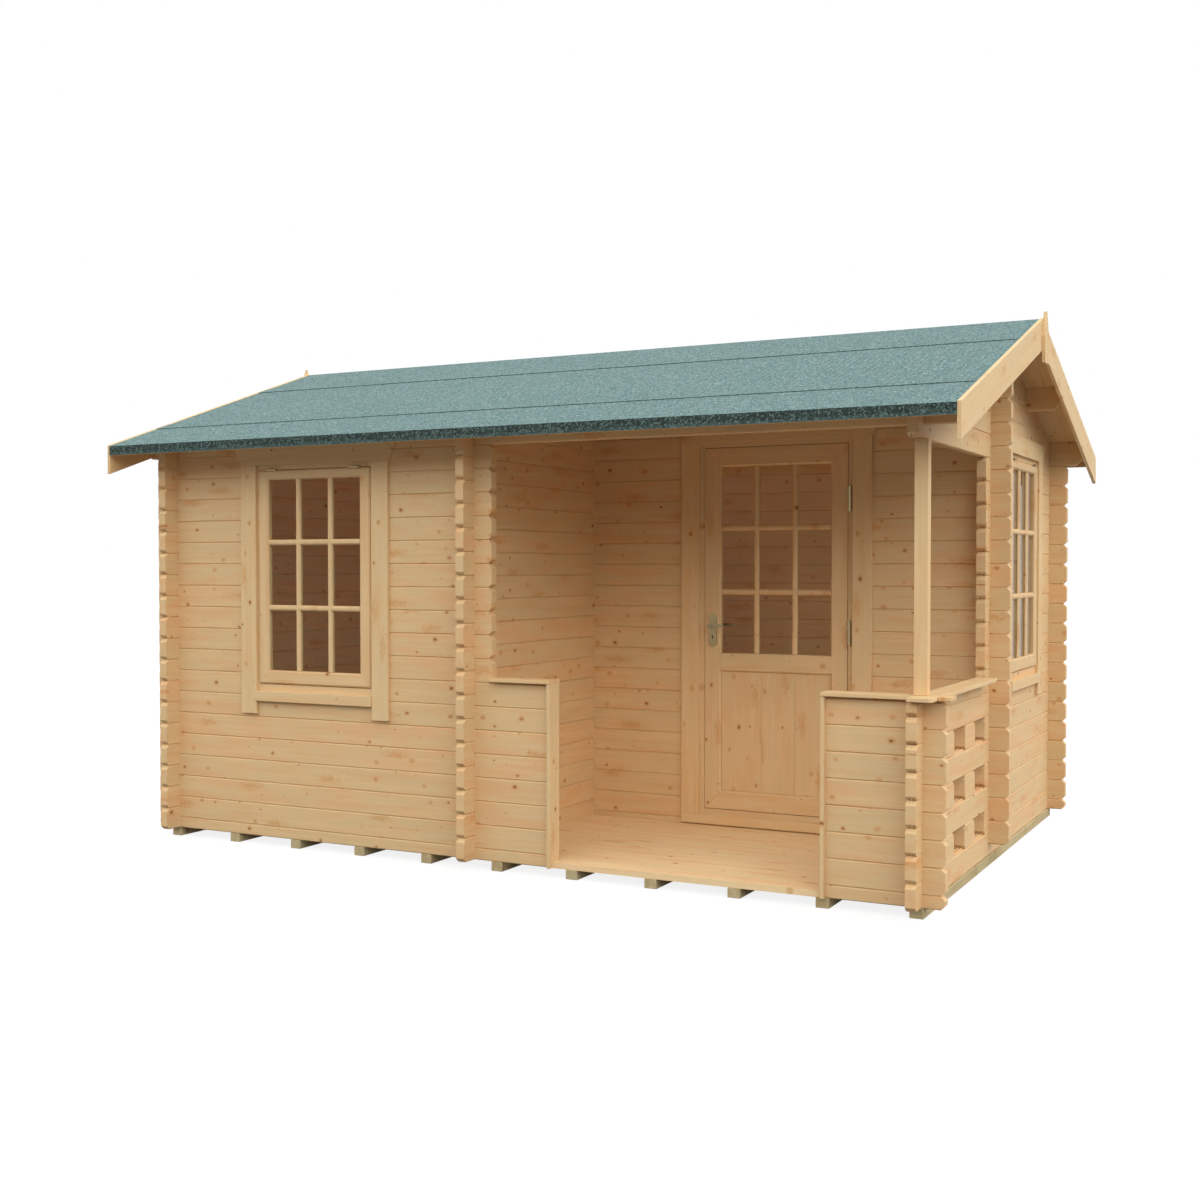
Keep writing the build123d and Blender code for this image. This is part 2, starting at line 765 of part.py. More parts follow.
def parapet_end_boards():
    """Boards over the ends of the low walls, beside the way in."""
    levels = (base, cap_level - gap)
    reach = end_board_width / 2
    y_range = (front_line - reach, front_line + reach)
    over_floor = box((x_left, x_right), (front_line + log_cut - gap, 0), (0, floor_z[1] + gap))
    boards = [
        box((entrance_left - end_board, entrance_left), y_range, levels),
        box((entrance_right, entrance_right + end_board), y_range, levels),
    ]
    return [board - over_floor for board in boards]


def porch_post():
    """Corner post between the cap and the log that carries the roof."""
    x = right_line + post_shift
    levels = (cap_level + cap_thickness + gap, side_level(bracket_course))
    return [box((x - post_width / 2, x + post_width / 2), (y_front, y_front + wall), levels)]


# ---- Roof ----
def purlins():
    """Ridge purlin and one half way down each slope."""
    pieces = []
    for y in purlin_lines:
        low = purlin_bottom(y)
        outline = rectangle((-roof_end, roof_end), (low, ridge_top))
        pieces.append(roof_member(outline, y, low))
    return pieces


def mirrored(front):
    """A piece of the front slope and the same on the back slope."""
    return [front, mirror(front, Plane.XZ)]


def roof_boards():
    """The boarding of each slope, from the eave batten to the ridge."""
    low = eave_y + eave_batten + gap
    ridge = -gap / 2
    outline = Polygon(
        (low, underside(low)), (ridge, underside(ridge)), (ridge, deck_top(ridge)),
        (low, deck_top(low)), align=None,
    )
    return mirrored(along_y(outline, 0, 2 * roof_end))


def eave_battens():
    """Boards across the ends of the roof boards, which the felt turns down over."""
    inner = eave_y + eave_batten
    foot = deck_top(eave_y) - eave_batten_height
    outline = Polygon(
        (eave_y, foot), (inner, foot), (inner, deck_top(inner)), (eave_y, deck_top(eave_y)),
        align=None,
    )
    return mirrored(along_y(outline, 0, 2 * roof_end))


def felt_outline(stations):
    """Section of a felt strip through points given as y and the layers of felt below."""
    layer = felt * plumb
    under = [(y, deck_top(y) + gap + count * (layer + gap)) for y, count in stations]
    over = [(y, z + layer) for y, z in reversed(under)]
    return Polygon(*under, *over, align=None)


def roof_felt():
    """Felt by strips: turned down at each eave, lapped below the next, and over the ridge."""
    width = 2 * roof_end
    lap = felt_lap / plumb
    ridge_edge = -felt_ridge / plumb
    middle_edge = ridge_edge - felt_exposed / plumb
    face = eave_y - gap - felt
    foot = deck_top(eave_y) - eave_batten_height
    eave = felt_outline([(face, 0), (middle_edge + lap, 0)])
    eave += rectangle((face, eave_y - gap), (foot, deck_top(face) + felt))
    middle = felt_outline([
        (middle_edge, 1), (middle_edge + lap + gap, 1), (middle_edge + lap + felt_step, 0),
        (ridge_edge + lap, 0),
    ])
    climb = [(ridge_edge, 1), (ridge_edge + lap + gap, 1), (ridge_edge + lap + felt_step, 0)]
    down = [(-y, count) for y, count in reversed(climb)]
    ridge = felt_outline(climb + [(0, 0)] + down)
    return {
        "eave_felt": mirrored(along_y(eave, 0, width)),
        "middle_felt": mirrored(along_y(middle, 0, width)),
        "ridge_felt": [along_y(ridge, 0, width)],
    }


def bargeboard_top(y):
    """Upper edge of a bargeboard."""
    return deck_top(y) + felt * plumb + bargeboard_rise


def bargeboards(x):
    """Two boards that meet at the ridge, with plumb lower ends."""
    ridge = -gap / 2
    outline = Polygon(
        (eave_y, bargeboard_top(eave_y) - bargeboard_height),
        (ridge, bargeboard_top(ridge) - bargeboard_height),
        (ridge, bargeboard_top(ridge)), (eave_y, bargeboard_top(eave_y)), align=None,
    )
    return mirrored(along_y(outline, x, bargeboard))


def finial(x):
    """Pointed board over the joint of the bargeboards."""
    tip = bargeboard_top(0) + finial_rise
    shoulder = tip - finial_point
    foot = tip - finial_length
    reach = finial_width / 2
    outline = Polygon(
        (-reach, foot), (reach, foot), (reach, shoulder), (0, tip), (-reach, shoulder), align=None,
    )
    return along_y(outline, x, bargeboard)


# ---- Nodes ----
nodes = {
    "left_gable_wall": full_side_wall(left_line, tip_back, [front_line, back_line]),
    "porch_side_wall": full_side_wall(porch_x_line, porch_tip_back, [front_line, porch_y_line]),
    "right_gable_wall": right_gable(),
    "porch_balustrade": balustrade(),
    "front_wall": front_wall(),
    "porch_front_parapet": front_parapet(),
    "porch_back_wall": porch_back_wall(),
    "back_wall": back_wall(),
    "bearers": bearers(),
    "store_floor": store_floor(),
    "porch_floor": porch_floor(),
    "parapet_caps": parapet_caps(),
    "parapet_end_boards": parapet_end_boards(),
    "porch_post": porch_post(),
    "purlins": purlins(),
    "roof_boards": roof_boards(),
    "eave_battens": eave_battens(),
    **roof_felt(),
}
gable_face_x = x_right + gable_overhang
for side, name in ((-1, "left"), (1, "right")):
    nodes[f"{name}_bargeboards"] = bargeboards(side * (gable_face_x - bargeboard / 2))
nodes["finials"] = [finial(side * (gable_face_x + gap + bargeboard / 2)) for side in (-1, 1)]
window_places = {
    "front_window": Pos(window_x, y_front, front_level(window_course)),
    "side_window": Pos(x_right, side_window_y, side_level(side_window_course)) * Rot(0, 0, 90),
}
for name, place in window_places.items():
    nodes.update({f"{name}_{part}": [place * piece for piece in pieces]
                  for part, pieces in window().items()})
door_place = Pos(door_x, y_front + porch_depth, base)
for group in (doorway(), door_leaf(), door_furniture(), door_hinges()):
    nodes.update({name: [door_place * piece for piece in pieces]
                  for name, pieces in group.items()})

for name, pieces in nodes.items():
    solids = [solid for piece in pieces for solid in piece.solids()]
    export_step(Compound(children=solids), f"parts/{name}.step")
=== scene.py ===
"""Looks of a garden log cabin with a covered corner porch, in metres.

The logs, boards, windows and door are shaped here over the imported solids, which give every
place and size. Each piece of timber carries its own grain, so that no two look alike.
"""

import json
import random

from math import cos, pi, radians, sin, tan

import bmesh
import bpy
from mathutils import Matrix, Vector

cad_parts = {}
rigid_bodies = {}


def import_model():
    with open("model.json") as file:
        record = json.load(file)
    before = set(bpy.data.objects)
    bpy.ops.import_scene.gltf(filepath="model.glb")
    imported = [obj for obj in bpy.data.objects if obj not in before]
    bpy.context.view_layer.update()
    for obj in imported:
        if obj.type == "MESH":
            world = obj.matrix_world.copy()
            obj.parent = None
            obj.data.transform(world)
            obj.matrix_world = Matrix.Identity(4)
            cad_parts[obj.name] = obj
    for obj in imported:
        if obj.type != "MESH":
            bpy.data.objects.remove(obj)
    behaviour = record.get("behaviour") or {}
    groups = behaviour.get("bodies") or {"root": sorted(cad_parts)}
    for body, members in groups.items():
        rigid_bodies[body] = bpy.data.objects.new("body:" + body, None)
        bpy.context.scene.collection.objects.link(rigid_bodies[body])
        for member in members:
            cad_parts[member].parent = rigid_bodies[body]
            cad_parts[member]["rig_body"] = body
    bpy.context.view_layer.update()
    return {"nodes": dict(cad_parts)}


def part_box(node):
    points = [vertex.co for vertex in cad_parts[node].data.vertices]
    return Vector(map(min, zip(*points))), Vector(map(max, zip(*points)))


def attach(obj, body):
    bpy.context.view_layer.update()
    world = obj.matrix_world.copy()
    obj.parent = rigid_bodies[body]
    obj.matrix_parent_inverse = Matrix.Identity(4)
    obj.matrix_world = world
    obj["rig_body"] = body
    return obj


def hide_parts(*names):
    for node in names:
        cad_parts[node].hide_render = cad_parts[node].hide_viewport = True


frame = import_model()

MM = 0.001
chance = random.Random(7)

# ---- Sizes that the looks add, in millimetres ----
COURSE = 114.0
LOG = 45.0
HALF_PLAY = 0.15  # taken off each face of a log or board where it meets the next
V_JOINT = 4.5
TONGUE = 8.0
TONGUE_WIDTH = 7.0
TONGUE_TAPER = 1.0
TONGUE_SPACING = 15.0
GROOVE_SLACK = 0.5
END_BEVEL = 19.0
ROOF_BOARD = 88.0
ROOF_BOARD_THICKNESS = 18.0
ROOF_BOARD_LENGTH = 1900.0  # before it is cut at the ridge and the eave
PAST_RIDGE = 20.0
FLOOR_BOARD = 88.0
BOARD_JOINT = 2.0
FLOOR_JOINT = 0.6
ROLLER = 31.0  # from one mark of the felt maker's roller to the next
GRANULE = 6.5  # of the felt; real ones are 1 to 2
RING = 9.0  # from one late-wood ring to the next; real ones are finer
EASED_EDGE = 1.5
PURLIN_EDGE = 3.0
KEY_BELOW_TOP = 120.0  # of the plates
KEYHOLE = 4.4  # radius; it and the slot clear the plates' own by 0.1
KEY_SLOT = 13.8
KEY_SLOT_WIDTH = 3.8
LOCK_DISC = 1.0  # thickness of the steel behind the round of the keyhole, near-black as painted shade
LOCK_SLOT = 0.8  # and behind its slot
LOCK_PROUD = 0.7  # of their middle from the face of the leaf
ROOF_PITCH = radians(18.9)
SHARP = radians(25)  # an edge that turns by more than this is eased

# Where a piece may lie in its tree, in metres: along it, beside its heart and out from it.
IN_TREE = ((0.0, 60.0), (-0.045, 0.045), (0.02, 0.07))

# ---- Light ----
SKY = 1.9
SOFT_SUN = 1.1
FLOOR_SHADE = 0.17
FLOOR_GLOW = 0.85  # seen by the camera, straight or in glass, so that the floor is white


# ---- Making meshes ----
def across_box(points):
    """Lowest and highest corner of some points."""
    low = Vector(min(p[i] for p in points) for i in range(3))
    high = Vector(max(p[i] for p in points) for i in range(3))
    return low, high


def loose_parts(bm):
    """The vertices of each separate solid in a mesh, always in the same order."""
    found, parts = set(), []
    for first in bm.verts:
        if first not in found:
            found.add(first)
            part = [first]
            for vert in part:
                for link in vert.link_edges:
                    other = link.other_vert(vert)
                    if other not in found:
                        found.add(other)
                        part.append(other)
            parts.append(part)
    return parts


def cad_solids(node):
    """A node's solids as meshes of their own, with their shared corners merged."""
    whole = bmesh.new()
    whole.from_mesh(frame["nodes"][node].data)
    bmesh.ops.remove_doubles(whole, verts=whole.verts, dist=0.01 * MM)
    solids = []
    for part in loose_parts(whole):
        kept = whole.copy()
        kept.verts.ensure_lookup_table()
        keep = {vert.index for vert in part}
        bmesh.ops.delete(kept, geom=[v for v in kept.verts if v.index not in keep], context="VERTS")
        solids.append(kept)
    whole.free()
    return solids


def set_grain(bm, along=None, across=None):
    """Give a piece of timber its own place in the tree: along, across and through, in metres."""
    low, high = across_box([v.co for v in bm.verts])
    size = high - low
    axes = sorted(range(3), key=lambda i: -size[i])
    unit = Matrix.Identity(3)
    along = Vector(along) if along else unit[axes[0]]
    across = Vector(across) if across else unit[axes[1]]
    through = along.cross(across)
    middle = (low + high) / 2
    shift = Vector([chance.uniform(*span) for span in IN_TREE])
    tone = chance.uniform(-1, 1)
    grain = bm.verts.layers.float_vector.new("grain")
    toned = bm.verts.layers.float.new("tone")
    for vert in bm.verts:
        at = vert.co - middle
        vert[grain] = Vector((at.dot(along), at.dot(across), at.dot(through))) + shift
        vert[toned] = tone


def ease(bm, width):
    """Take the sharpness off the edges of a solid."""
    edges = [e for e in bm.edges if len(e.link_faces) == 2 and e.calc_face_angle(0) > SHARP]
    if not edges:
        return
    shortest = min(e.calc_length() for e in edges)
    bmesh.ops.bevel(bm, geom=edges, offset=min(width * MM, shortest * 0.4), offset_type="OFFSET",
                    segments=1, profile=0.5, affect="EDGES", clamp_overlap=True, material=-1)


def run(section, length, place, cuts=()):
    """A length of timber: its section in Y and Z, run along X, cut by planes, put in place."""
    bm = bmesh.new()
    end = bm.faces.new([bm.verts.new((0, y * MM, z * MM)) for y, z in section])
    grown = bmesh.ops.extrude_face_region(bm, geom=[end])["geom"]
    bmesh.ops.translate(bm, vec=(length * MM, 0, 0),
                        verts=[v for v in grown if isinstance(v, bmesh.types.BMVert)])
    bmesh.ops.recalc_face_normals(bm, faces=bm.faces)
    bm.transform(place)
    for point, outward in cuts:
        cut_off(bm, point, outward)
    return bm


def cut_off(bm, point, outward):
    """Saw a solid through and drop what is on the outward side."""
    everything = bm.verts[:] + bm.edges[:] + bm.faces[:]
    bmesh.ops.bisect_plane(bm, geom=everything, dist=1e-6, plane_co=point, plane_no=outward,
                           clear_outer=True)
    rim = [e for e in bm.edges if e.is_boundary]
    if rim:
        bmesh.ops.holes_fill(bm, edges=rim, sides=0)
        bmesh.ops.recalc_face_normals(bm, faces=bm.faces)


def piece(name, solids, nodes, material, stands_for=True):
    """Join solids to one object that rides on some nodes' body, and mostly stands for them."""
    mesh = bpy.data.meshes.new(name)
    joined = bmesh.new()
    for solid in solids:
        part = bpy.data.meshes.new("part")
        solid.to_mesh(part)
        joined.from_mesh(part)
        bpy.data.meshes.remove(part)
        solid.free()
    joined.to_mesh(mesh)
    joined.free()
    mesh.materials.append(material)
    made = bpy.data.objects.new(name, mesh)
    bpy.context.scene.collection.objects.link(made)
    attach(made, frame["nodes"][nodes[0]]["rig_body"])
    if stands_for:
        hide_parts(*nodes)
    return made


# ---- Materials ----
def tint(code):
    """Linear colour from an sRGB hex value."""
    channels = [int(code[i:i + 2], 16) / 255 for i in (1, 3, 5)]
    return [c / 12.92 if c <= 0.04045 else ((c + 0.055) / 1.055) ** 2.4 for c in channels] + [1.0]


def add(tree, kind, inputs=None, **settings):
    """Add a node with its settings, and set or link its inputs.

    A node given as an input is linked by its first output.
    """
    node = tree.nodes.new(kind)
    for name, value in settings.items():
        setattr(node, name, value)
    for name, value in (inputs or {}).items():
        if isinstance(value, bpy.types.Node):
            value = value.outputs[0]
        if isinstance(value, bpy.types.NodeSocket):
            tree.links.new(value, node.inputs[name])
        else:
            node.inputs[name].default_value = value
    return node


def set_stops(ramp, stops):
    """Give a colour ramp its stops, each a place and a linear colour."""
    elements = ramp.color_ramp.elements
    for at, _ in stops[1:-1]:
        elements.new(at)
    for stop, (at, colour) in zip(elements, stops):
        stop.position, stop.color = at, colour


def new_material(name):
    """An empty material with its shader, and its tree."""
    material = bpy.data.materials.new(name)
    material.use_nodes = True
    tree = material.node_tree
    shader = tree.nodes["Principled BSDF"]
    return material, tree, shader


def planed_wood(name, pale, warm, straw, late, knot, share=0.8, cell=118.0, rough=0.6):
    """Planed spruce: faint rings and fibres along each piece, small knots in orange halos.

    Pale, warm and straw are the wood's own patches of colour, late is the darker late wood. The
    share of cells with a knot and the cell's size in millimetres set how knotty it is.
    """
    material, tree, shader = new_material(name)
    grain = add(tree, "ShaderNodeAttribute", attribute_name="grain").outputs["Vector"]
    tone = add(tree, "ShaderNodeAttribute", attribute_name="tone").outputs["Fac"]

    # The size of each pattern along, across and through a piece in millimetres, and its detail.
    # Real fibres are under a millimetre wide, and pores and planer marks are finer still: both
    # are drawn 5 mm wide so that they show.
    patterns = {}
    for use, lengths, detail in (("knot rim", (16, 8, 20), 2.0), ("flare rim", (26, 11, 30), 4.0),
                                 ("wander", (900, 160, 160), 2.0), ("fibres", (240, 5, 5), 3.0),
                                 ("bands", (420, 45, 45), 2.0), ("patches", (260, 80, 80), 1.0),
                                 ("pores", (7, 5, 5), 1.0)):
        place = add(tree, "ShaderNodeVectorMath",
                    {0: grain, 1: [1 / (length * MM) for length in lengths]}, operation="MULTIPLY")
        patterns[use] = add(tree, "ShaderNodeTexNoise", {"Vector": place, "Scale": 1.0,
                                                         "Detail": detail})
    fibres = patterns["fibres"]

    # Knots run through the thickness, so they are laid out on the wide face only. Some are no
    # more than a pale orange spot. A knot's rim is ragged by 4 mm either way.
    place = add(tree, "ShaderNodeVectorMath",
                {0: grain, 1: (1 / (1.3 * cell * MM), 1 / (cell * MM), 0)}, operation="MULTIPLY")
    cells = add(tree, "ShaderNodeTexVoronoi", {"Vector": place, "Scale": 1.0},
                voronoi_dimensions="2D")
    draw = add(tree, "ShaderNodeSeparateColor", {0: cells.outputs["Color"]}).outputs
    kept = add(tree, "ShaderNodeMath", {0: draw[0], 1: share}, operation="LESS_THAN")
    radius = add(tree, "ShaderNodeMapRange", {0: draw[1], 1: 0.0, 2: 1.2, 3: 2.6, 4: 9.5},
                 interpolation_type="SMOOTHSTEP")
    away = add(tree, "ShaderNodeMath", {0: cells, 1: cell, 2: -4.0}, operation="MULTIPLY_ADD")
    ragged = add(tree, "ShaderNodeMath", {0: patterns["knot rim"], 1: 8.0, 2: away},
                 operation="MULTIPLY_ADD")
    reach = add(tree, "ShaderNodeMath", {0: ragged, 1: radius}, operation="DIVIDE")
    heart = add(tree, "ShaderNodeMapRange", {0: reach, 1: 1.1, 2: 0.45},
                interpolation_type="SMOOTHSTEP")
    darkness = add(tree, "ShaderNodeMapRange", {0: draw[2], 1: 0.15, 2: 0.9, 3: 0.05, 4: 0.8},
                   interpolation_type="SMOOTHSTEP")
    dark_heart = add(tree, "ShaderNodeMath", {0: heart, 1: darkness}, operation="MULTIPLY")
    core = add(tree, "ShaderNodeMath", {0: dark_heart, 1: kept}, operation="MULTIPLY")
    ring = add(tree, "ShaderNodeMapRange", {0: reach, 1: 2.3, 2: 0.7},
               interpolation_type="SMOOTHSTEP")
    halo = add(tree, "ShaderNodeMath", {0: ring, 1: kept}, operation="MULTIPLY")

    # Flares are broad orange marks where a branch was cut along its length.
    place = add(tree, "ShaderNodeVectorMath", {0: grain, 1: (1 / (700 * MM), 1 / (210 * MM), 0)},
                operation="MULTIPLY")
    branches = add(tree, "ShaderNodeTexVoronoi", {"Vector": place, "Scale": 1.0},
                   voronoi_dimensions="2D")
    frayed = add(tree, "ShaderNodeMath", {0: patterns["flare rim"], 1: 0.3, 2: branches},
                 operation="MULTIPLY_ADD")
    flare = add(tree, "ShaderNodeMapRange", {0: frayed, 1: 0.3, 2: 0.15},
                interpolation_type="SMOOTHSTEP")

    # Growth rings round the heart of the tree, bent by a slow wander and round each knot.
    sides = add(tree, "ShaderNodeVectorMath", {0: grain, 1: (0, 1, 1)}, operation="MULTIPLY")
    depth = add(tree, "ShaderNodeVectorMath", {0: sides}, operation="LENGTH").outputs["Value"]
    wandering = add(tree, "ShaderNodeMath", {0: patterns["wander"], 1: 16 * MM, 2: depth},
                    operation="MULTIPLY_ADD")
    bent = add(tree, "ShaderNodeMath", {0: halo, 1: 4 * MM, 2: wandering},
               operation="MULTIPLY_ADD")
    turns = add(tree, "ShaderNodeMath", {0: bent, 1: 2 * pi / (RING * MM)}, operation="MULTIPLY")
    rings = add(tree, "ShaderNodeMath", {0: turns}, operation="SINE")
    ringed = add(tree, "ShaderNodeMapRange", {0: rings, 1: -0.4},
                 interpolation_type="SMOOTHSTEP")
    streaked = add(tree, "ShaderNodeMapRange", {0: fibres, 1: 0.3, 2: 0.7, 4: 0.13},
                   interpolation_type="SMOOTHSTEP")
    lines = add(tree, "ShaderNodeMath", {0: ringed, 1: streaked}, operation="MULTIPLY")

    # Colour: patches of the wood's own tints, then late wood, halos and knots over them.
    drift = add(tree, "ShaderNodeMath", {0: tone, 1: 0.13, 2: patterns["bands"]},
                operation="MULTIPLY_ADD")
    warmth = add(tree, "ShaderNodeMapRange", {0: drift, 1: 0.3, 2: 0.7},
                 interpolation_type="SMOOTHSTEP")
    strawness = add(tree, "ShaderNodeMapRange", {0: patterns["patches"], 1: 0.42, 2: 0.62, 4: 0.6},
                    interpolation_type="SMOOTHSTEP")
    flared = add(tree, "ShaderNodeMath", {0: flare, 1: 0.45}, operation="MULTIPLY")
    haloed = add(tree, "ShaderNodeMath", {0: halo, 1: 0.45}, operation="MULTIPLY")
    colour = tint(pale)
    for amount, code in ((warmth, warm), (strawness, straw), (lines, late), (flared, late),
                         (haloed, late), (core, knot)):
        colour = add(tree, "ShaderNodeMix", {0: amount, 6: colour, 7: tint(code)},
                     data_type="RGBA").outputs[2]

    # Each piece is a little lighter or darker, and so are its fibres and pores.
    toned = add(tree, "ShaderNodeMath", {0: tone, 1: 0.03, 2: 0.915}, operation="MULTIPLY_ADD")
    fibrous = add(tree, "ShaderNodeMath", {0: fibres, 1: 0.05, 2: toned}, operation="MULTIPLY_ADD")
    bright = add(tree, "ShaderNodeMath", {0: patterns["pores"], 1: 0.12, 2: fibrous},
                 operation="MULTIPLY_ADD")
    shown = add(tree, "ShaderNodeVectorMath", {0: colour, "Scale": bright}, operation="SCALE")
    tree.links.new(shown.outputs[0], shader.inputs["Base Color"])
    relief = add(tree, "ShaderNodeMath", {0: core, 1: 0.6, 2: fibres}, operation="MULTIPLY_ADD")
    bump = add(tree, "ShaderNodeBump", {"Height": relief, "Strength": 0.1, "Distance": 0.3 * MM})
    tree.links.new(bump.outputs[0], shader.inputs["Normal"])
    dull = add(tree, "ShaderNodeMapRange", {0: fibres, 1: 0.2, 2: 0.8, 3: rough - 0.05,
                                            4: rough + 0.08}, interpolation_type="SMOOTHSTEP")
    tree.links.new(dull.outputs[0], shader.inputs["Roughness"])
    shader.inputs["IOR"].default_value = 1.45
    shader.inputs["Specular IOR Level"].default_value = 0.3
    return material


# Bare planed spruce, pale honey, nearly matt where the planer left it.
log_wood = planed_wood("spruce_planed_log", "#E1C08F", "#DEB382", "#DABD8E", "#CC8440", "#8C4A1B")
board_wood = planed_wood("spruce_planed_board", "#E3C494", "#DFB986", "#DEC192", "#CE8A48",
                         "#8E4E20", share=0.7, cell=125.0)
joinery_wood = planed_wood("spruce_joinery", "#E2C191", "#DDB685", "#DCBE8F", "#CA8746",
                           "#8C4D20", share=0.65, cell=130.0)
# Floor boards: the board wood drawn paler, as painted light on the floors.
floor_wood_painted_light = planed_wood("spruce_planed_floor_painted_light", "#F3D6A6", "#EEC796", "#EED3A4", "#CE8A48",
                         "#8E4E20", share=0.7, cell=125.0)
# Pressure-treated softwood: dull greenish brown from the copper salts, rough sawn.
treated_wood = planed_wood("softwood_treated_sawn", "#CBB78E", "#B09C72", "#BCAE86", "#8A744A",
                           "#54401F", rough=0.8)


def felt_material(name, streaks):
    """Mineral roofing felt: blue-grey slate granules pressed into bitumen, dead matt.

    The bend at the eave faces down the slope, and there more of the black bitumen shows. The
    share of streaks is how strongly the marks of the roller show up the slope.
    """
    material, tree, shader = new_material(name)
    place = add(tree, "ShaderNodeTexCoord").outputs["Object"]

    # Real granules are 1 to 2 mm; drawn coarser so that they show.
    speck = add(tree, "ShaderNodeTexVoronoi", {"Vector": place, "Scale": 1 / (GRANULE * MM)})
    grey = add(tree, "ShaderNodeSeparateColor", {0: speck.outputs["Color"]}).outputs
    # The wave texture repeats every pi / 10 of its own length.
    roller = add(tree, "ShaderNodeTexWave", {"Vector": place, "Scale": pi / 10 / (ROLLER * MM),
                                             "Distortion": 0.8, "Detail": 1.0},
                 wave_type="BANDS", bands_direction="X", wave_profile="SIN").outputs["Fac"]
    cloud = add(tree, "ShaderNodeTexNoise", {"Vector": place, "Scale": 1 / (400 * MM),
                                             "Detail": 3.0})
    streak = add(tree, "ShaderNodeMath", {0: roller, 1: streaks, 2: -streaks / 2},
                 operation="MULTIPLY_ADD")
    level = add(tree, "ShaderNodeMath", {0: grey[0], 1: streak}, operation="ADD")
    granules = add(tree, "ShaderNodeValToRGB", {0: level})
    # On the bend: bare bitumen between scattered granules, more of them towards its lower edge.
    bitumen = add(tree, "ShaderNodeValToRGB", {0: grey[1]})
    set_stops(granules, ((0.0, tint("#354C4B")), (0.35, tint("#5C7675")),
                         (0.7, tint("#6F8A89")), (0.97, tint("#A3B7B4"))))
    set_stops(bitumen, ((0.0, tint("#2B3531")), (0.5, tint("#37423E")),
                        (0.8, tint("#4A5B57")), (1.0, tint("#677C76"))))
    soft = add(tree, "ShaderNodeMix", {0: 0.35, 6: granules, 7: tint("#65807F")},
               data_type="RGBA").outputs[2]
    clouded = add(tree, "ShaderNodeMath", {0: cloud, 1: 0.3}, operation="MULTIPLY")
    cloudy = add(tree, "ShaderNodeMix", {0: clouded, 6: soft, 7: tint("#5B7473")},
                 data_type="RGBA").outputs[2]
    height = add(tree, "ShaderNodeSeparateXYZ", {0: place}).outputs[2]
    lower_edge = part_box("eave_felt")[0].z
    worn = add(tree, "ShaderNodeMapRange", {0: height, 1: lower_edge, 2: lower_edge + 18 * MM,
                                            3: 0.5, 4: 0.0})
    scattered = add(tree, "ShaderNodeMath", {0: worn, 1: grey[2]}, operation="MULTIPLY")
    edge = add(tree, "ShaderNodeMix", {0: scattered, 6: bitumen, 7: tint("#6F8C88")},
               data_type="RGBA").outputs[2]
    facing = add(tree, "ShaderNodeNewGeometry").outputs["Normal"]
    upward = add(tree, "ShaderNodeSeparateXYZ", {0: facing}).outputs[2]
    bend = add(tree, "ShaderNodeMapRange", {0: upward, 1: 0.75, 2: 0.35},
               interpolation_type="SMOOTHSTEP")
    shown = add(tree, "ShaderNodeMix", {0: bend, 6: cloudy, 7: edge}, data_type="RGBA")
    tree.links.new(shown.outputs[2], shader.inputs["Base Color"])
    bump = add(tree, "ShaderNodeBump", {"Height": speck.outputs["Distance"], "Strength": 0.4,
                                        "Distance": 1.5 * MM})
    tree.links.new(bump.outputs[0], shader.inputs["Normal"])
    shader.inputs["Roughness"].default_value = 0.95
    shader.inputs["Specular IOR Level"].default_value = 0.2
    return material


def clear_glass():
    """Float glass: clear, with hardly a reflection, so that the dim room shows.

    Daylight reaches the room through it.
    """
    material, tree, shader = new_material("float_glass")
    place = add(tree, "ShaderNodeTexCoord").outputs["Object"]
    film = add(tree, "ShaderNodeTexNoise", {"Vector": place, "Scale": 6.0})
    dust = add(tree, "ShaderNodeMapRange", {0: film.outputs["Fac"], 3: 0.0, 4: 0.04})
    tree.links.new(dust.outputs[0], shader.inputs["Roughness"])
    shader.inputs["Base Color"].default_value = tint("#F4F8F5")
    shader.inputs["Transmission Weight"].default_value = 1.0
    shader.inputs["IOR"].default_value = 1.15
    rays = add(tree, "ShaderNodeLightPath").outputs
    passing = add(tree, "ShaderNodeMath", {0: rays["Is Shadow Ray"], 1: rays["Is Diffuse Ray"]},
                  operation="MAXIMUM")
    air = add(tree, "ShaderNodeBsdfTransparent", {"Color": tint("#F4F8F5")})
    both = add(tree, "ShaderNodeMixShader", {0: passing.outputs[0], 1: shader.outputs[0],
                                             2: air.outputs[0]})
    tree.links.new(both.outputs[0], tree.nodes["Material Output"].inputs["Surface"])
    return material


def bright_metal(name, code, line_code, rough):
    """Plated or satin metal: fine drawn lines, soft shine."""
    material, tree, shader = new_material(name)
    place = add(tree, "ShaderNodeTexCoord").outputs["Object"]
    drawn = add(tree, "ShaderNodeMapping", {"Vector": place, "Scale": (900, 900, 60)})
    lines = add(tree, "ShaderNodeTexNoise", {"Vector": drawn.outputs[0], "Scale": 1.0})
    colour = add(tree, "ShaderNodeMix", {0: lines.outputs["Fac"], 6: tint(code),
                                         7: tint(line_code)}, data_type="RGBA")
    tree.links.new(colour.outputs[2], shader.inputs["Base Color"])
    shader.inputs["Metallic"].default_value = 1.0
    rougher = add(tree, "ShaderNodeMapRange", {0: lines.outputs["Fac"], 3: rough - 0.08,
                                               4: rough + 0.1})
    tree.links.new(rougher.outputs[0], shader.inputs["Roughness"])
    return material


felt = felt_material("bitumen_felt_mineral", 0.0)
rolled_felt = felt_material("bitumen_felt_mineral_rolled", 0.12)
glass = clear_glass()
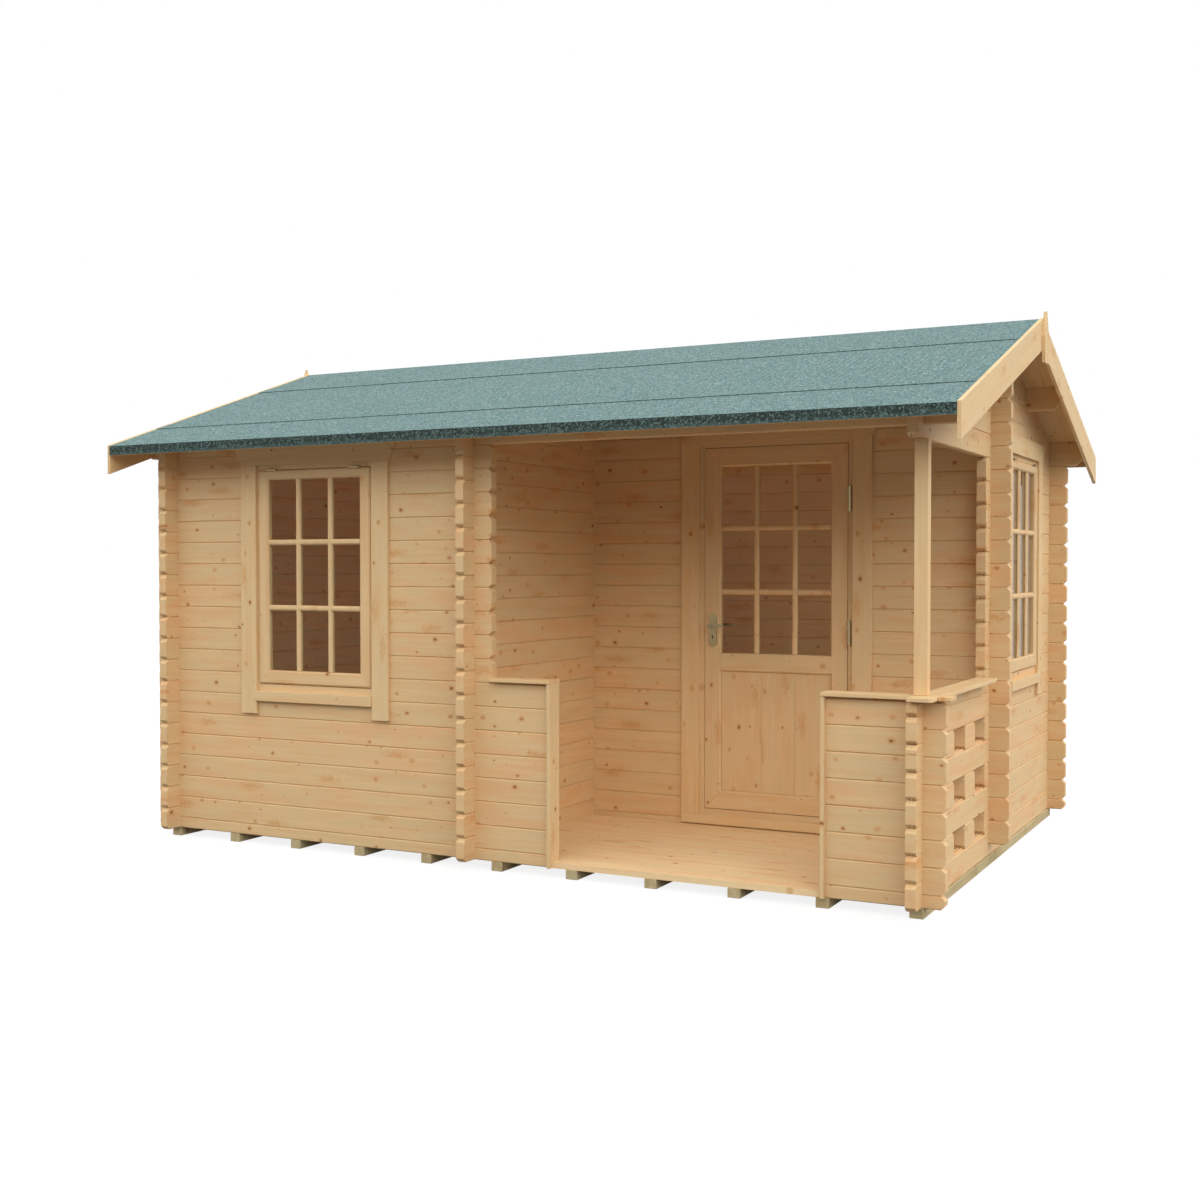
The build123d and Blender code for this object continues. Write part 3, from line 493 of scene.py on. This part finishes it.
# Steel of the lock, drawn near-black as painted shade in the keyholes.
keyhole_shade_steel = bright_metal("steel_blackened_painted_keyhole_shade", "#2B2723", "#1E1B18", 0.5)
plated = bright_metal("steel_zinc_plated", "#BCAC83", "#8C7F5B", 0.42)
# Satin aluminium of the levers, tinted beige as a painted reflection of the wood round them.
satin_painted_wood_reflection = bright_metal("aluminium_satin_painted_wood_reflection", "#A89D80", "#80765C", 0.42)

# ---- Log walls ----
board_low, board_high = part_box("roof_boards")
ridge_under = board_low.z - board_low.y * tan(ROOF_PITCH)
eave_under = ridge_under - 0.55  # just below the underside of the roof over a long wall
roof_cuts = [((0, 0, ridge_under), (0, side * sin(ROOF_PITCH), cos(ROOF_PITCH)))
             for side in (-1, 1)]


def log_section(height, grooved):
    """Section of a log: V-joint edges, two tongues on top and perhaps two grooves below."""
    side, edge = LOG / 2, LOG / 2 - V_JOINT
    low, top = HALF_PLAY, height - HALF_PLAY
    tongue = TONGUE_WIDTH / 2
    tip = tongue - TONGUE_TAPER
    middles = (TONGUE_SPACING / 2, -TONGUE_SPACING / 2)
    right = [(side, low + V_JOINT), (side, top - V_JOINT), (edge, top)]
    for middle in middles:
        right += [(middle + tongue, top), (middle + tip, top + TONGUE),
                  (middle - tip, top + TONGUE), (middle - tongue, top)]
    left = [(-edge, top), (-side, top - V_JOINT), (-side, low + V_JOINT), (-edge, low)]
    deep = low + TONGUE + GROOVE_SLACK
    for middle in middles[::-1] if grooved else ():
        left += [(middle - tongue - GROOVE_SLACK, low), (middle - tongue, deep),
                 (middle + tongue, deep), (middle + tongue + GROOVE_SLACK, low)]
    return right + left + [(edge, low)]


def log_like(solid, along, lowest):
    """A log in the place of a solid, with its ends bevelled as the solid's are."""
    low, high = across_box([v.co for v in solid.verts])
    axis = "XY".index(along)
    middle = (low + high) / 2
    halved = high.z - low.z < 0.6 * COURSE * MM and high.z < board_low.z
    height = COURSE / 2 if halved else COURSE
    level = low.z - HALF_PLAY * MM
    cuts = []
    for value, sign in ((low[axis], -1), (high[axis], 1)):
        # An end face that starts well above the log's underside is a bevelled one.
        face = [v.co.z for v in solid.verts if abs(v.co[axis] - value) < 0.5 * MM]
        if min(face) - low.z > 5 * MM:
            outward = Vector((0, 0, 0))
            outward[axis] = sign
            for up, z in ((1, level + height * MM), (-1, level)):
                corner = Vector((middle.x, middle.y, z))
                corner[axis] = value - sign * END_BEVEL * MM
                cuts.append((corner, outward + Vector((0, 0, up))))
    start = Vector((middle.x, middle.y, level))
    start[axis] = low[axis]
    place = Matrix.Translation(start) @ Matrix.Rotation(axis * pi / 2, 4, "Z")
    section = log_section(height, low.z > lowest + 1 * MM)
    made = run(section, (high[axis] - low[axis]) / MM, place, cuts + roof_cuts)
    set_grain(made, Matrix.Identity(3)[axis], (0, 0, 1))
    return made


def log_wall(node, along):
    """A wall of logs; its members that carry the roof keep their own outline."""
    solids = cad_solids(node)
    lowest = min(v.co.z for solid in solids for v in solid.verts)
    made = []
    for solid in solids:
        low, high = across_box([v.co for v in solid.verts])
        taller = (high.z - low.z) / MM > COURSE + 2
        carries_roof = along == "X" and taller and high.z > eave_under
        if carries_roof:
            ease(solid, V_JOINT)
            set_grain(solid)
            made.append(solid)
        else:
            made.append(log_like(solid, along, lowest))
            solid.free()
    return piece(node + "_logs", made, [node], log_wood)


for node, along in (("left_gable_wall", "Y"), ("porch_side_wall", "Y"), ("right_gable_wall", "Y"),
                    ("porch_balustrade", "Y"), ("front_wall", "X"), ("porch_front_parapet", "X"),
                    ("porch_back_wall", "X"), ("back_wall", "X")):
    log_wall(node, along)


# ---- Timber that keeps its outline, with eased edges ----
def dressed(node, material, width=EASED_EDGE, down_slope=False):
    """A node's solids with eased edges, and grain along their length or down the roof's slope."""
    solids = cad_solids(node)
    for solid in solids:
        bmesh.ops.dissolve_limit(solid, angle_limit=radians(1), verts=solid.verts,
                                 edges=solid.edges)
        ease(solid, width)
        if down_slope:
            low, high = across_box([v.co for v in solid.verts])
            side = 1 if low.y + high.y > 0 else -1
            slope = Vector((0, side * cos(ROOF_PITCH), -sin(ROOF_PITCH)))
            set_grain(solid, slope, Vector((1, 0, 0)).cross(slope))
        else:
            set_grain(solid)
    return piece(node + "_timber", solids, [node], material)


for node in ("parapet_caps", "parapet_end_boards", "porch_post", "finials", "eave_battens",
             "front_window_trim", "side_window_trim", "door_trim"):
    dressed(node, board_wood)
for node in ("left_bargeboards", "right_bargeboards"):
    dressed(node, board_wood, down_slope=True)
for node in ("front_window_frame", "side_window_frame", "door_frame", "front_window_sash",
             "side_window_sash", "door_leaf", "door_panel", "front_window_bars",
             "side_window_bars", "door_bars"):
    dressed(node, joinery_wood)
dressed("purlins", log_wood, PURLIN_EDGE)
dressed("bearers", treated_wood)


# ---- Boards of the roof and floors ----
def board_section(width, thickness, joint, face_down):
    """Section of a board, with a V-joint at the edges of its shown face."""
    shown, hidden = (0, thickness) if face_down else (thickness, 0)
    chamfered = joint if face_down else thickness - joint
    low, high = HALF_PLAY, width - HALF_PLAY
    return [(joint, shown), (low, chamfered), (low, hidden), (high, hidden), (high, chamfered),
            (width - joint, shown)]


def roof_boarding():
    """Boards from each eave to the ridge, V-joints below."""
    count = round((board_high.x - board_low.x) / MM / ROOF_BOARD)
    width = (board_high.x - board_low.x) / MM / count
    section = board_section(width, ROOF_BOARD_THICKNESS, BOARD_JOINT, True)
    boards = []
    for side in (-1, 1):
        cuts = [((0, side * HALF_PLAY * MM, 0), (0, -side, 0)),
                ((0, side * abs(board_low.y), 0), (0, side, 0))]
        slope = Vector((0, side * cos(ROOF_PITCH), -sin(ROOF_PITCH)))
        fall = (Matrix.Rotation(side * pi / 2, 4, "Z") @ Matrix.Rotation(ROOF_PITCH, 4, "Y")
                @ Matrix.Translation((-PAST_RIDGE * MM, 0, 0)))
        for number in range(count):
            # The section's width runs the other way on the back slope.
            edge = number + (side == 1)
            place = Matrix.Translation((board_low.x + edge * width * MM, 0, ridge_under)) @ fall
            board = run(section, ROOF_BOARD_LENGTH, place, cuts)
            set_grain(board, slope, (1, 0, 0))
            boards.append(board)
    return piece("roof_boarding", boards, ["roof_boards"], board_wood)


roof_boarding()


def floor_boards(node):
    """Floor boards along X, laid to the outline of each solid."""
    boards = []
    for solid in cad_solids(node):
        low, high = across_box([v.co for v in solid.verts])
        count = round((high.y - low.y) / MM / FLOOR_BOARD)
        width = (high.y - low.y) / count
        for number in range(count):
            y = low.y + number * width
            start, end = crossing(solid, y + width / 2)
            section = board_section(width / MM, (high.z - low.z) / MM, FLOOR_JOINT, False)
            board = run(section, (end - start) / MM, Matrix.Translation((start, y, low.z)))
            set_grain(board, (1, 0, 0), (0, 1, 0))
            boards.append(board)
        solid.free()
    return piece(node + "_boards", boards, [node], floor_wood_painted_light)


def crossing(solid, y):
    """Where a line along X at y enters and leaves a flat solid."""
    found = []
    for edge in solid.edges:
        one, two = (v.co for v in edge.verts)
        if (one.y - y) * (two.y - y) < 0:
            found.append(one.lerp(two, (y - one.y) / (two.y - one.y)).x)
    return min(found), max(found)


floor_boards("porch_floor")
floor_boards("store_floor")


# ---- The lock ----
def lock_works():
    """Steel of the lock case, seen through the keyholes of both plates, drawn near-black as painted
    shade in the keyway.
    """
    solids = []
    leaf_low, leaf_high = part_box("door_leaf")
    plate_low, plate_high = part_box("door_plates")
    x, z = (plate_low.x + plate_high.x) / 2, plate_high.z - KEY_BELOW_TOP * MM
    upright = Matrix.Rotation(pi / 2, 4, "X")
    for face, side in ((leaf_low.y, -1), (leaf_high.y, 1)):
        y = face + side * LOCK_PROUD * MM
        bm = bmesh.new()
        bmesh.ops.create_cone(bm, cap_ends=True, segments=24, radius1=KEYHOLE * MM,
                              radius2=KEYHOLE * MM, depth=LOCK_DISC * MM,
                              matrix=Matrix.Translation((x, y, z)) @ upright)
        slot = Matrix.Diagonal((KEY_SLOT_WIDTH * MM, LOCK_SLOT * MM, KEY_SLOT * MM, 1))
        bmesh.ops.create_cube(bm, size=1.0,
                              matrix=Matrix.Translation((x, y, z - KEY_SLOT / 2 * MM)) @ slot)
        solids.append(bm)
    return piece("lock_works", solids, ["door_plates"], keyhole_shade_steel,
                 stands_for=False)


lock_works()

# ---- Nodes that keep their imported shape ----
kept = {felt: ("eave_felt", "ridge_felt"),
        rolled_felt: ("middle_felt",),
        glass: ("front_window_glass", "side_window_glass", "door_glass"),
        plated: ("front_window_hinges", "side_window_hinges", "door_frame_hinges",
                 "door_leaf_hinges", "door_plates"),
        satin_painted_wood_reflection: ("door_levers",)}
for material, names in kept.items():
    for name in names:
        mesh = frame["nodes"][name].data
        mesh.materials.clear()
        mesh.materials.append(material)

# ---- Studio ----
scene = bpy.context.scene
scene.view_settings.view_transform = "Standard"


def seen_rays(tree):
    """One where the camera sees a surface, straight or through glass or a reflection."""
    rays = add(tree, "ShaderNodeLightPath").outputs
    mirrored = add(tree, "ShaderNodeMath",
                   {0: rays["Is Glossy Ray"], 1: rays["Is Transmission Ray"]},
                   operation="MAXIMUM")
    return add(tree, "ShaderNodeMath", {0: rays["Is Camera Ray"], 1: mirrored},
               operation="MAXIMUM")


def soft_sky():
    """A soft grey dome that is dark at the skyline and overhead, and white where it is seen."""
    world = bpy.data.worlds.new("studio")
    scene.world = world
    world.use_nodes = True
    tree = world.node_tree
    tree.nodes.clear()
    way = add(tree, "ShaderNodeTexCoord").outputs["Generated"]
    height = add(tree, "ShaderNodeSeparateXYZ", {0: way}).outputs[2]
    dome = add(tree, "ShaderNodeValToRGB", {0: height})
    levels = ((0.12, 0.0), (0.34, 1.0), (0.72, 0.95), (1.0, 0.12))
    set_stops(dome, [(at, (grey, grey, grey, 1)) for at, grey in levels])
    lit = add(tree, "ShaderNodeMath", {0: dome, 1: SKY}, operation="MULTIPLY")
    strength = add(tree, "ShaderNodeMix", {0: seen_rays(tree), 2: lit, 3: 1.0})
    light = add(tree, "ShaderNodeBackground", {"Color": (1, 1, 1, 1), "Strength": strength})
    add(tree, "ShaderNodeOutputWorld", {"Surface": light})


def lamps():
    """One very soft lamp from the right, and the light inside the two rooms."""
    soft_sun = bpy.data.lights.new("soft_lamp", "SUN")
    soft_sun.energy, soft_sun.angle = SOFT_SUN, radians(80)
    lamp = bpy.data.objects.new("soft_lamp", soft_sun)
    lamp.rotation_euler = Vector((0.75, -0.25, 0.6)).to_track_quat("Z", "Y").to_euler()
    scene.collection.objects.link(lamp)

    # Light in the rooms comes off the underside of the roof, warm as daylight is in bare wood.
    # Each lamp has a place, a length and a width in metres, and its power per square metre.
    for name, x, y, length, width, power in (("room_lamp_1", -1.2, 0.0, 1.3, 2.2, 1.25),
                                             ("room_lamp_2", 0.9, 0.65, 1.8, 1.0, 2.2)):
        room_light = bpy.data.lights.new(name, "AREA")
        room_light.shape, room_light.size, room_light.size_y = "RECTANGLE", length, width
        room_light.spread = radians(110)
        room_light.energy = power * length * width
        room_light.color = tint("#FFE4D2")[:3]
        room = bpy.data.objects.new(name, room_light)
        room.location = (x, y, 0.3)
        room.rotation_euler = (pi, 0, 0)
        room.visible_camera = room.visible_glossy = room.visible_transmission = False
        scene.collection.objects.link(room)


def studio_floor():
    """A plain floor that the camera sees white, with the cabin's shadow on it."""
    bm = bmesh.new()
    bmesh.ops.create_grid(bm, x_segments=1, y_segments=1, size=400)
    mesh = bpy.data.meshes.new("studio_floor")
    bm.to_mesh(mesh)
    bm.free()
    material, tree, shader = new_material("studio_floor")
    shader.inputs["Base Color"].default_value = (FLOOR_SHADE, FLOOR_SHADE, FLOOR_SHADE, 1)
    shader.inputs["Roughness"].default_value = 1.0
    shader.inputs["Specular IOR Level"].default_value = 0.0
    glow = add(tree, "ShaderNodeMath", {0: seen_rays(tree), 1: FLOOR_GLOW}, operation="MULTIPLY")
    shader.inputs["Emission Color"].default_value = (1, 1, 1, 1)
    tree.links.new(glow.outputs[0], shader.inputs["Emission Strength"])
    mesh.materials.append(material)
    floor = bpy.data.objects.new("studio_floor", mesh)
    scene.collection.objects.link(floor)


def camera_in_front():
    """The camera: about 8 m from the middle, in front and to the right, at standing height."""
    lens = bpy.data.cameras.new("camera")
    lens.lens, lens.sensor_width = 43.325, 36.0
    lens.clip_end = 1000
    camera = bpy.data.objects.new("camera", lens)
    camera.location = (3.6043, -7.2931, 1.4553)
    camera.rotation_euler = (radians(90 - 1.312), 0, radians(27.418))
    scene.collection.objects.link(camera)
    scene.camera = camera


soft_sky()
lamps()
studio_floor()
camera_in_front()
